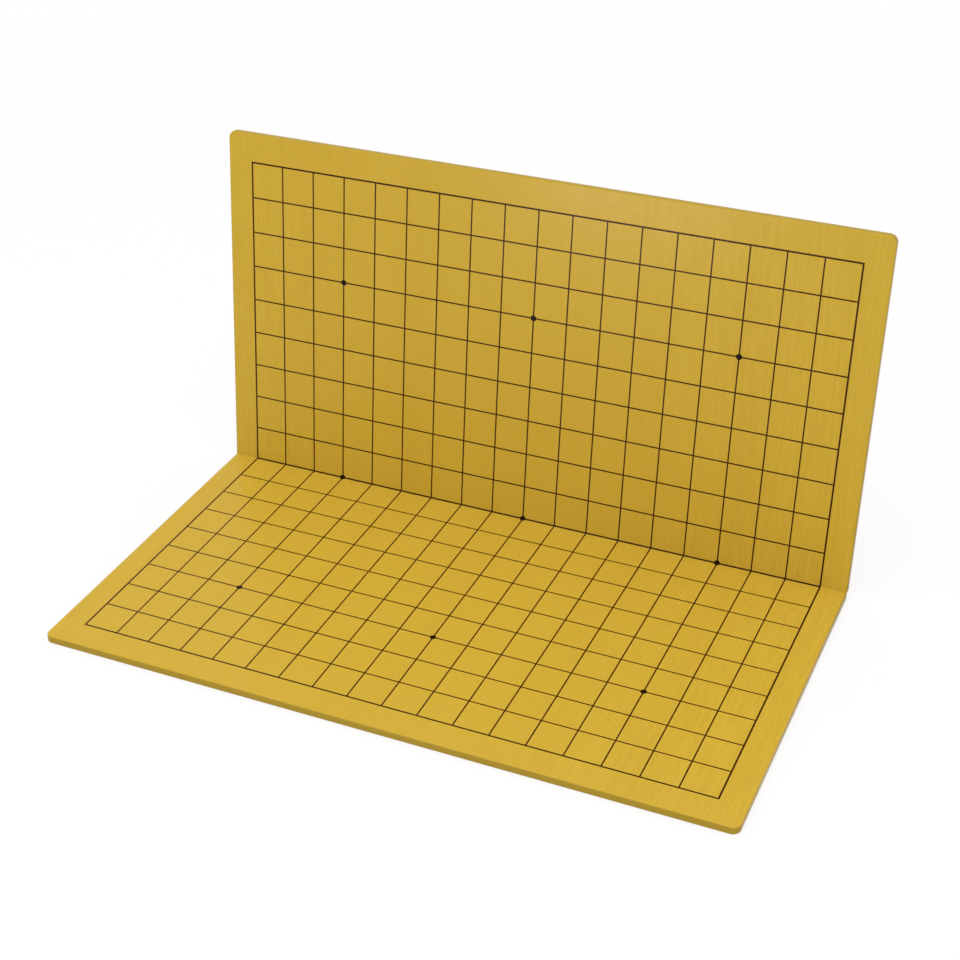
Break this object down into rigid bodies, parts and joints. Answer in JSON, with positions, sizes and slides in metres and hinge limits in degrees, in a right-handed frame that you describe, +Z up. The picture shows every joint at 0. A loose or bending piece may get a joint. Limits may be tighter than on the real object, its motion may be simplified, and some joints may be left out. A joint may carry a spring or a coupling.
{
  "type": "folding go board",
  "caption": "Lined go board in wood-look halves joined by a film hinge along the middle line; it folds shut on its playing faces.",
  "frame": {"origin": "centre of the front half's underside, on the surface that it rests on", "axes": "+X along the fold, +Y from the front half towards the fold, +Z up"},
  "size_m": [0.4396, 0.2645, 0.237],
  "materials": {
    "fibreboard": "sawn fibreboard",
    "wood_look_film": "satin film with a fine straight grain",
    "hinge_laminate": "satin film backed with cloth",
    "hinge_cloth": "woven tape",
    "backing_paper": "matt sealed paper",
    "printed_ink": "matt screen print"
  },
  "bodies": {
    "front_half": {"front_core": "fibreboard", "front_playing_film": "wood_look_film", "front_hinge_leaf": "hinge_cloth", "front_back_sheet": "backing_paper", "front_grid_print": "printed_ink", "front_star_points": "printed_ink", "hinge_crease": "hinge_laminate"},
    "rear_half": {"rear_core": "fibreboard", "rear_playing_film": "wood_look_film", "rear_hinge_leaf": "hinge_cloth", "rear_back_sheet": "backing_paper", "rear_grid_print": "printed_ink", "rear_star_points": "printed_ink"}
  },
  "joints": [
    {"name": "fold", "type": "hinge", "parent": "front_half", "child": "rear_half", "pos_m": [0, 0.1167, 0.0052], "axis": [1, 0, 0], "range_deg": [-83.6, 96.4], "deforming": ["hinge_crease"]}
  ]
}
